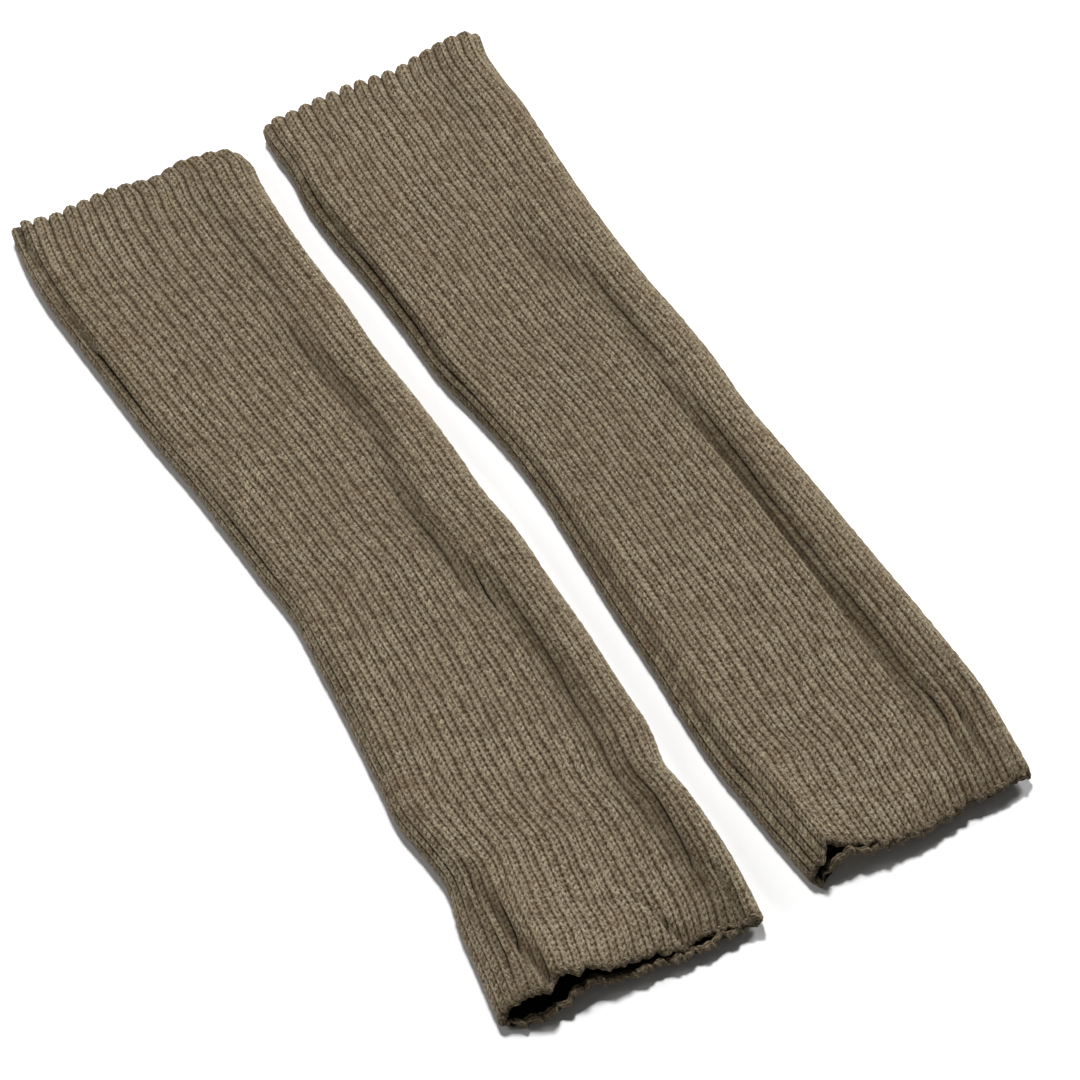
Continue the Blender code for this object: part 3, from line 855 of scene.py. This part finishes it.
# %% Helpers for building nodes
class Nodes:
    """A node tree with short calls for the few kinds of node used here."""

    def __init__(self, tree):
        self.tree = tree

    def put(self, slot, value):
        if isinstance(value, bpy.types.NodeSocket):
            self.tree.links.new(value, slot)
        else:
            slot.default_value = value

    def math(self, operation, *values):
        node = self.tree.nodes.new("ShaderNodeMath")
        node.operation = operation
        for k, value in enumerate(values):
            self.put(node.inputs[k], value)
        return node.outputs[0]

    def ramp(self, value, low, high, to_low=0.0, to_high=1.0):
        node = self.tree.nodes.new("ShaderNodeMapRange")
        node.interpolation_type = "SMOOTHSTEP"
        for name, given in (("Value", value), ("From Min", low), ("From Max", high),
                            ("To Min", to_low), ("To Max", to_high)):
            self.put(node.inputs[name], given)
        return node.outputs[0]

    def noise(self, vector, scale, detail=2.0, roughness=0.5):
        node = self.tree.nodes.new("ShaderNodeTexNoise")
        self.put(node.inputs["Vector"], vector)
        node.inputs["Scale"].default_value = scale
        node.inputs["Detail"].default_value = detail
        node.inputs["Roughness"].default_value = roughness
        return node.outputs["Fac"]

    def attribute(self, name):
        node = self.tree.nodes.new("ShaderNodeAttribute")
        node.attribute_name = name
        return node.outputs["Fac"]

    def vector(self, x, y, z=0.0):
        node = self.tree.nodes.new("ShaderNodeCombineXYZ")
        for k, value in enumerate((x, y, z)):
            self.put(node.inputs[k], value)
        return node.outputs[0]

    def mix(self, factor, first, second, blend="MIX"):
        node = self.tree.nodes.new("ShaderNodeMix")
        node.data_type = "RGBA"
        node.blend_type = blend
        self.put(node.inputs[0], factor)
        self.put(node.inputs[6], first)
        self.put(node.inputs[7], second)
        return node.outputs[2]


# %% Make the wool
# painted shade colours: the first two below paint the hollows and the flanks of the yarn darker
# than its crests; the crest colour is the yarn's own
HOLLOW_PAINTED_SHADE = (0.034, 0.021, 0.0105, 1.0)
FLANK_PAINTED_SHADE = (0.110, 0.078, 0.045, 1.0)
CREST = (0.264, 0.223, 0.152, 1.0)
WARM = (0.140, 0.094, 0.056, 1.0)
# painted shadow: the inside of each tube is painted near black
INSIDE_PAINTED_SHADOW = (0.007, 0.006, 0.004, 1.0)
# the crease and the hole are dips in the bump and painted shade in the colour
CREASE_DIP_AND_SHADE = 0.34      # how dark the crease between two legs is
HOLE_DIP_AND_SHADE = 0.66        # and the hole at the point of the V
LINE_WIDTH = 0.23       # of the line beside a wale, in wales
GROOVE_WIDTH = 0.125    # of the groove beside a rib, in ribs
STITCH_SPREAD = 0.48    # how much the stitches differ in colour
FIBRE_SPREAD = 1.35     # and the fibres


def wool_material():
    """Taupe wool rib, drawn stitch by stitch from the UV map."""
    material = bpy.data.materials.new("taupe_wool_rib")
    material.use_nodes = True
    n = Nodes(material.node_tree)
    uv = material.node_tree.nodes.new("ShaderNodeUVMap")
    uv.uv_map = "knit"
    split = material.node_tree.nodes.new("ShaderNodeSeparateXYZ")
    n.put(split.inputs[0], uv.outputs[0])
    u, v = split.outputs[0], split.outputs[1]
    place = material.node_tree.nodes.new("ShaderNodeTexCoord").outputs["Object"]
    shade, cord, flat = (n.attribute(name) for name in ("shade", "cord", "flat"))

    # where a point lies on its stitch
    wale = n.math("FRACT", n.math("MULTIPLY", u, 2.0))
    twice = n.math("MULTIPLY", wale, 2.0)
    left = n.math("MAXIMUM", n.math("SUBTRACT", 1.0, twice), 0.0)
    right = n.math("MAXIMUM", n.math("SUBTRACT", twice, 1.0), 0.0)
    slant = n.math("ADD", n.math("MULTIPLY", left, LEFT_SLANT),
                   n.math("MULTIPLY", right, RIGHT_SLANT))
    phase = n.math("ADD", v, slant)
    across_leg = n.math("FRACT", phase)
    along_leg = n.math("FRACT", twice)

    # the crease between legs, faint on a cord and clear on the slanting leg: a dip in the bump
    # and painted shade in the colour
    loose = n.math("SUBTRACT", 1.0, n.math("MULTIPLY", cord, 0.92))
    off_top = n.math("ABSOLUTE", n.math("SUBTRACT", n.math("MULTIPLY", across_leg, 2.0), 1.0))
    crease = n.math("MULTIPLY", n.math("POWER", off_top, 2.2),
                    n.math("MULTIPLY", loose, CREASE_DIP_AND_SHADE))
    # the hole at the point of the V, once a course, also a dip and painted shade
    to_point = n.math("DIVIDE", n.math("SUBTRACT", wale, 0.5), 0.24)
    to_crease = n.math("DIVIDE", n.math("SUBTRACT", 1.0, off_top), 0.75)
    hole = n.math("ADD", n.math("MULTIPLY", to_point, to_point),
                  n.math("MULTIPLY", to_crease, to_crease))
    hole = n.math("MULTIPLY", n.ramp(hole, 0.10, 1.0, HOLE_DIP_AND_SHADE, 0.0), loose)
    # the line between two wales and the groove between two ribs: rows of dots, one a
    # course, where the legs on both sides dip, painted dark as shade, rough with loose fibres
    rough = n.noise(n.vector(n.math("MULTIPLY", u, 7.0), n.math("MULTIPLY", v, 1.7)), 1.0, 3.0)
    rough = n.math("SUBTRACT", rough, 0.5)
    between = n.math("SUBTRACT", n.math("MULTIPLY", n.math("FRACT", v), 2.0), 1.0)
    between = n.math("ADD", n.math("ABSOLUTE", between), n.math("MULTIPLY", rough, 0.9))
    bite = n.math("MULTIPLY", rough, 0.26)
    to_side = n.math("MINIMUM", wale, n.math("SUBTRACT", 1.0, wale))
    side = n.ramp(n.math("ADD", to_side, bite), 0.0, LINE_WIDTH, 1.0, 0.0)
    side = n.math("MULTIPLY", side, n.ramp(between, 0.2, 0.9, 1.0, 0.50))
    rib = n.math("FRACT", u)
    to_groove = n.math("MINIMUM", rib, n.math("SUBTRACT", 1.0, rib))
    to_groove = n.math("ADD", to_groove, n.math("MULTIPLY", bite, 0.8))
    groove = n.ramp(to_groove, 0.0, GROOVE_WIDTH, 1.0, 0.0)
    groove = n.math("MULTIPLY", groove, n.ramp(between, 0.2, 1.0, 0.96, 0.52))
    groove = n.math("MULTIPLY", groove, n.math("SUBTRACT", 1.0, n.math("MULTIPLY", flat, 0.8)))
    hidden = n.math("MAXIMUM", n.math("MAXIMUM", crease, hole), n.math("MAXIMUM", side, groove))
    leg = n.math("SUBTRACT", 1.0, hidden)

    # plies and fibres
    turn = n.math("ADD", n.math("MULTIPLY", along_leg, 2.5),
                  n.math("MULTIPLY", across_leg, 1.6))
    ply = n.math("ABSOLUTE", n.math("SINE", n.math("MULTIPLY", turn, math.pi)))
    fibre = n.vector(n.math("MULTIPLY", u, 9.0), n.math("MULTIPLY", v, 3.0))
    fibre = n.noise(fibre, 3.0, 3.0, 0.6)
    height = n.math("ADD", n.math("MULTIPLY", leg, 0.60), n.math("MULTIPLY", ply, 0.12))
    height = n.math("ADD", height, n.math("MULTIPLY", fibre, 0.35))
    bump = material.node_tree.nodes.new("ShaderNodeBump")
    bump.inputs["Strength"].default_value = 0.8
    bump.inputs["Distance"].default_value = 0.6 * MM
    n.put(bump.inputs["Height"], height)

    # colour by how far a point stands out, as painted shade: dark hollows and brown
    # flanks, with the yarn's own pale colour on the crests; stitches and fibres differ a little
    cell = material.node_tree.nodes.new("ShaderNodeTexWhiteNoise")
    cell.noise_dimensions = "3D"
    n.put(cell.inputs["Vector"], n.vector(
        n.math("FLOOR", n.math("MULTIPLY", u, 4.0)), n.math("FLOOR", phase)))
    differs = cell.outputs["Value"]
    stitch = n.math("MULTIPLY", n.math("SUBTRACT", differs, 0.5), STITCH_SPREAD)
    hair = n.math("MULTIPLY", n.math("SUBTRACT", fibre, 0.5), FIBRE_SPREAD)
    uneven = n.math("MULTIPLY", n.math("ADD", stitch, hair), n.ramp(leg, 0.0, 0.5))
    out = n.math("ADD", leg, uneven)
    # painted shade towards the sides of each leg, away from its top
    out = n.math("SUBTRACT", out, n.math("MULTIPLY", off_top, n.math("MULTIPLY", loose, 0.15)))
    # painted highlight: the smooth cords are painted a little lighter
    out = n.math("ADD", out, n.math("MULTIPLY", cord, 0.14))
    colour = n.mix(n.ramp(out, 0.0, 0.55), HOLLOW_PAINTED_SHADE, FLANK_PAINTED_SHADE)
    colour = n.mix(n.ramp(out, 0.46, 1.12), colour, CREST)
    mottle = n.ramp(n.noise(place, 60.0, 3.0), 0.35, 0.65)
    colour = n.mix(n.math("MULTIPLY", mottle, 0.22), colour, WARM)
    tinge = n.ramp(differs, 0.0, 0.5, 0.30, 0.0)
    colour = n.mix(n.math("MULTIPLY", tinge, n.ramp(leg, 0.2, 0.8)), colour, WARM)
    spots = n.ramp(n.noise(place, 1500.0, 2.0), 0.32, 0.68, 0.58, 1.42)
    colour = n.mix(1.0, colour, n.vector(spots, spots, spots), "MULTIPLY")
    # painted shade from the mesh: folds, hidden sides of the ribs, grooves at the far end, the
    # near mouths, the rims and the chains
    colour = n.mix(n.math("MULTIPLY", shade, 0.85), colour, HOLLOW_PAINTED_SHADE)
    # painted shadow: where the painted shade is full, inside the tubes and on the inner rim
    # rows, the colour turns near black
    colour = n.mix(n.ramp(shade, 0.85, 1.0), colour, INSIDE_PAINTED_SHADOW)

    shader = material.node_tree.nodes["Principled BSDF"]
    n.put(shader.inputs["Base Color"], colour)
    n.put(shader.inputs["Normal"], bump.outputs[0])
    shader.inputs["Roughness"].default_value = 0.95
    shader.inputs["Specular IOR Level"].default_value = 0.08
    shader.inputs["Sheen Weight"].default_value = 0.18
    shader.inputs["Sheen Roughness"].default_value = 0.45
    shader.inputs["Sheen Tint"].default_value = (0.72, 0.68, 0.56, 1.0)
    return material


wool = wool_material()
for piece in [*pieces.values(), *chains.values()]:
    piece.data.materials.append(wool)
print("wool has", len(wool.node_tree.nodes), "nodes")

# %% [markdown]
# ## The table and the light
#
# The pair lies on a plain white surface. The main light is high and behind the pair,
# so that little light gets into the near mouths and a narrow dark shadow lies in front
# of them; the black inside the mouths is painted shadow in the wool. A low one on the
# right draws the ribs and the folds, whose darkness is partly painted shade, and a weak
# one on the left and a pale world fill the shadows.


# %% Lay the floor
def floor_plane():
    """A wide white square that the cloth rests on."""
    size = 6.0
    mesh = bpy.data.meshes.new("floor")
    mesh.from_pydata([(x * size, y * size, 0.0) for x, y in
                      ((-1, -1), (1, -1), (1, 1), (-1, 1))], [], [(0, 1, 2, 3)])
    material = bpy.data.materials.new("white_table")
    material.use_nodes = True
    shader = material.node_tree.nodes["Principled BSDF"]
    shader.inputs["Base Color"].default_value = (0.95, 0.95, 0.95, 1.0)
    shader.inputs["Roughness"].default_value = 0.9
    shader.inputs["Specular IOR Level"].default_value = 0.1
    shader.inputs["Emission Color"].default_value = (1.0, 1.0, 1.0, 1.0)
    shader.inputs["Emission Strength"].default_value = 0.01
    mesh.materials.append(material)
    floor = bpy.data.objects.new("floor", mesh)
    bpy.context.scene.collection.objects.link(floor)
    return floor


floor = floor_plane()


# %% Set the lights
def soft_light(name, place, size, power):
    """A square area light that faces the pair."""
    data = bpy.data.lights.new(name, "AREA")
    data.shape = "SQUARE"
    data.size = size
    data.energy = power
    light = bpy.data.objects.new(name, data)
    light.location = place
    away = np.array(place) / np.linalg.norm(place)
    light.rotation_euler = (math.acos(away[2]), 0.0, math.atan2(away[1], away[0]) + math.pi / 2)
    bpy.context.scene.collection.objects.link(light)
    return light


soft_light("key", (0.6, 3.3, 6.2), 1.2, 515.0)
soft_light("side", (3.6, 1.6, 1.9), 1.2, 140.0)
soft_light("fill", (-3.2, 1.2, 2.4), 1.6, 34.0)
world = bpy.data.worlds.new("studio")
world.use_nodes = True
world.node_tree.nodes["Background"].inputs["Color"].default_value = (1.0, 1.0, 1.0, 1.0)
world.node_tree.nodes["Background"].inputs["Strength"].default_value = 0.06
bpy.context.scene.world = world
bpy.context.scene.view_settings.view_transform = "Standard"
print("light set")

# %% [markdown]
# ## Attach the pieces
#
# Each knitted tube and its closing chain are attached to the root body, and the
# solid that the tube stands for is hidden. A tube opened out flat is a rectangle,
# as wide as the way round the tube and as long as the tube.

for tube in TUBES:
    piece = pieces[tube.name]
    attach(piece, "root")
    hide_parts(tube.solid)
    chain = chains[tube.name]
    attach(chain, "root")
